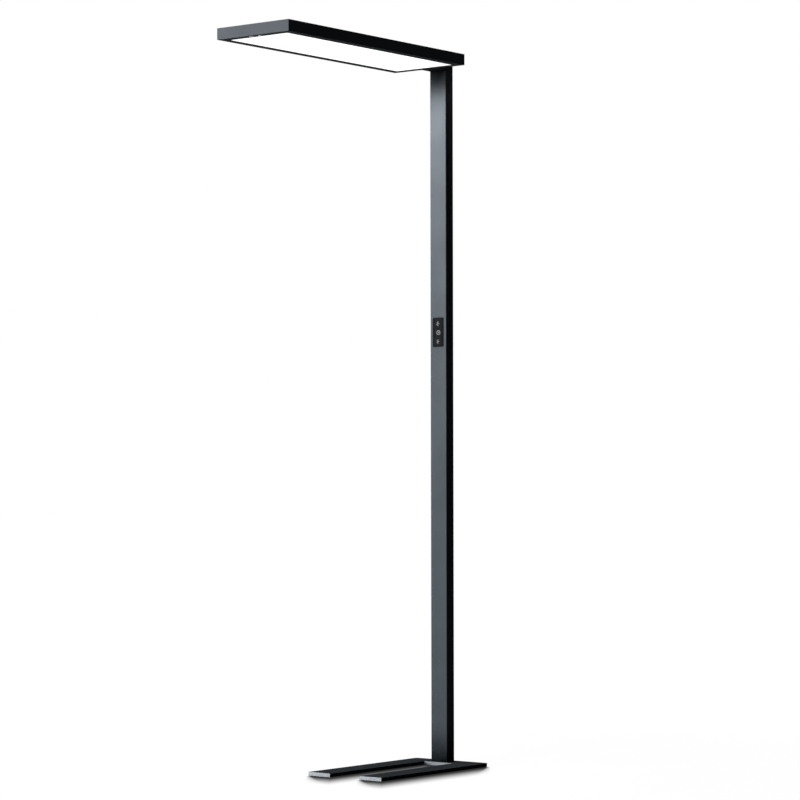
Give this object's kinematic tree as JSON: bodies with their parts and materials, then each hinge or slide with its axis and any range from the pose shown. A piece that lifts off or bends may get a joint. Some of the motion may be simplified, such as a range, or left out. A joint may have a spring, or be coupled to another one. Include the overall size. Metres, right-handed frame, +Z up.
{
  "type": "office floor lamp",
  "caption": "Free-standing office floor lamp with a flat direct and indirect LED head on a slim pole, a push-key panel and a U-shaped base that straddles a desk leg.",
  "frame": {"origin": "on the floor under the middle of the pole", "axes": "+Z up along the pole, the head reaches towards -Y, +X to the right for someone facing the key panel"},
  "size_m": [0.248, 0.8435, 1.95],
  "materials": {
    "coated_alu": "satin",
    "coated_steel": "satin",
    "steel": "satin",
    "black_steel": "satin",
    "plain_alu": "satin",
    "black_plastic": "matte",
    "key_plastic": "satin",
    "rubber": "matte",
    "opal_plastic": "satin",
    "clear_plastic": "gloss",
    "white_sheet": "matte",
    "white_plastic": "satin",
    "grey_lens": "gloss",
    "circuit_board": "satin",
    "white_board": "satin",
    "cable_jacket": "matte"
  },
  "bodies": {
    "lamp": {"base_plate": "coated_steel", "base_pads": "rubber", "foot_screws": "black_steel", "pole": "coated_alu", "cable_gland": "black_plastic", "gland_nut": "black_plastic", "mains_connector": "white_plastic", "supply_lead": "cable_jacket", "control_lead": "cable_jacket", "neck_bracket": "coated_alu", "neck_cover": "coated_alu", "neck_screws": "steel", "neck_cover_screws": "black_steel", "head_bolts": "steel", "control_bezel": "black_plastic", "control_back": "black_plastic", "control_board": "circuit_board", "switch_bodies": "black_plastic", "frame_left": "coated_alu", "frame_right": "coated_alu", "frame_front": "coated_alu", "frame_rear": "coated_alu", "corner_keys": "steel", "downlight_diffuser": "opal_plastic", "light_guide": "clear_plastic", "reflector_sheet": "white_sheet", "downlight_strips": "white_board", "head_tray": "plain_alu", "uplight_boards": "white_board", "uplight_diffuser": "opal_plastic", "head_cover": "coated_alu", "cover_screws": "black_steel", "led_drivers": "white_plastic", "driver_screws": "steel", "terminal_block": "white_plastic", "sensor_housing": "black_plastic", "sensor_board": "circuit_board", "motion_lens": "white_plastic", "daylight_lens": "grey_lens"},
    "push_upper": {"key_upper": "key_plastic", "plunger_upper": "white_plastic"},
    "push_middle": {"key_middle": "key_plastic", "plunger_middle": "white_plastic"},
    "push_lower": {"key_lower": "key_plastic", "plunger_lower": "white_plastic"}
  },
  "joints": [
    {"name": "press_upper", "type": "slide", "parent": "lamp", "child": "push_upper", "axis": [0, 1, 0], "range_m": [0, 0.0006], "stiffness_N_per_m": 2500},
    {"name": "press_middle", "type": "slide", "parent": "lamp", "child": "push_middle", "axis": [0, 1, 0], "range_m": [0, 0.0006], "stiffness_N_per_m": 2500},
    {"name": "press_lower", "type": "slide", "parent": "lamp", "child": "push_lower", "axis": [0, 1, 0], "range_m": [0, 0.0006], "stiffness_N_per_m": 2500}
  ]
}
